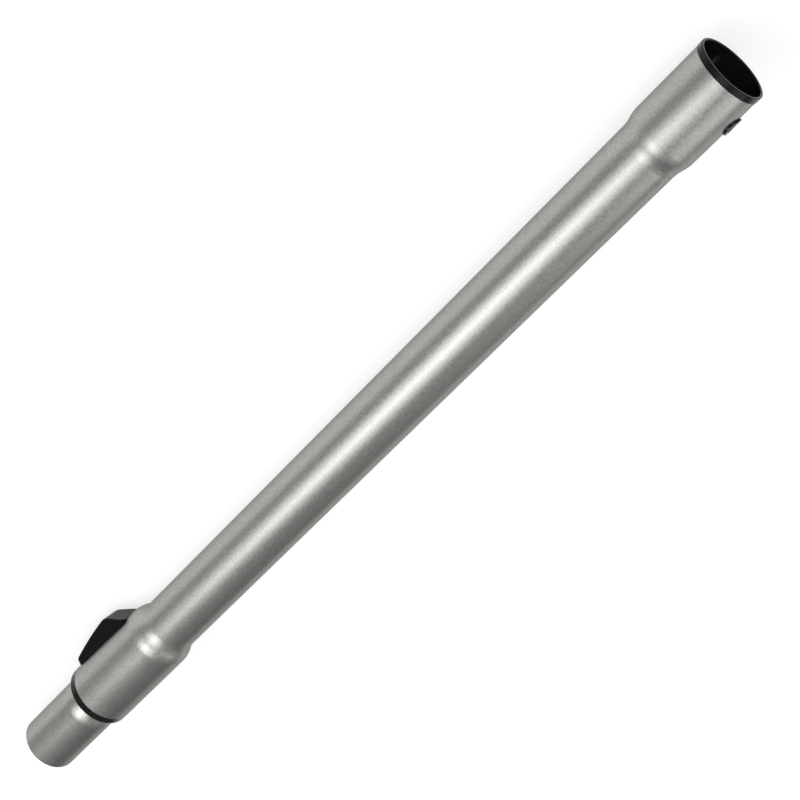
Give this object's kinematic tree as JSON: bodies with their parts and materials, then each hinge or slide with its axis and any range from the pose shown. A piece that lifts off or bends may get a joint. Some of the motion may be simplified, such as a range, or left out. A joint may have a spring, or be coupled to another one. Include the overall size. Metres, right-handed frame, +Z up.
{
  "type": "telescopic vacuum wand",
  "caption": "Telescopic steel vacuum wand with a hose socket, a sliding spigot tube and a thumb button that frees its length lock.",
  "frame": {"origin": "centre of the hose socket's stop, on the wand's axis", "axes": "+X along the wand, out of the hose socket; +Z up as the wand lies on a floor"},
  "size_m": [0.6003, 0.0488, 0.0406],
  "materials": {
    "tube_steel": "satin, fine grain",
    "black_plastic": "black, smooth",
    "button_plastic": "black, fine texture",
    "guide_plastic": "dark grey, moulded",
    "seal_rubber": "soft",
    "grey_felt": "felt",
    "hard_steel": "drawn, bright"
  },
  "bodies": {
    "outer": {"outer_tube": "tube_steel", "socket_collar": "black_plastic", "guide_sleeve": "guide_plastic", "wiper_ring": "seal_rubber", "end_ring": "black_plastic", "return_spring": "hard_steel"},
    "inner": {"inner_tube": "tube_steel", "rear_bush": "guide_plastic", "felt_ring": "grey_felt"},
    "button": {"release_button": "button_plastic", "lock_slide": "guide_plastic"},
    "pin": {"lock_pin": "hard_steel"}
  },
  "joints": [
    {"name": "tube_slide", "type": "slide", "parent": "outer", "child": "inner", "axis": [-1, 0, 0], "range_m": [0, 0.36]},
    {"name": "button_slide", "type": "slide", "parent": "outer", "child": "button", "axis": [-1, 0, 0], "range_m": [0, 0.005], "stiffness_N_per_m": 600, "springref_m": -0.004, "deforming": ["return_spring"]},
    {"name": "pin_lift", "type": "slide", "parent": "outer", "child": "pin", "axis": [0, 0.8653, -0.5013], "range_m": [0, 0.0017]}
  ],
  "couplings": [
    {"joint": "pin_lift", "follows": "button_slide", "ratio": 0.34}
  ]
}
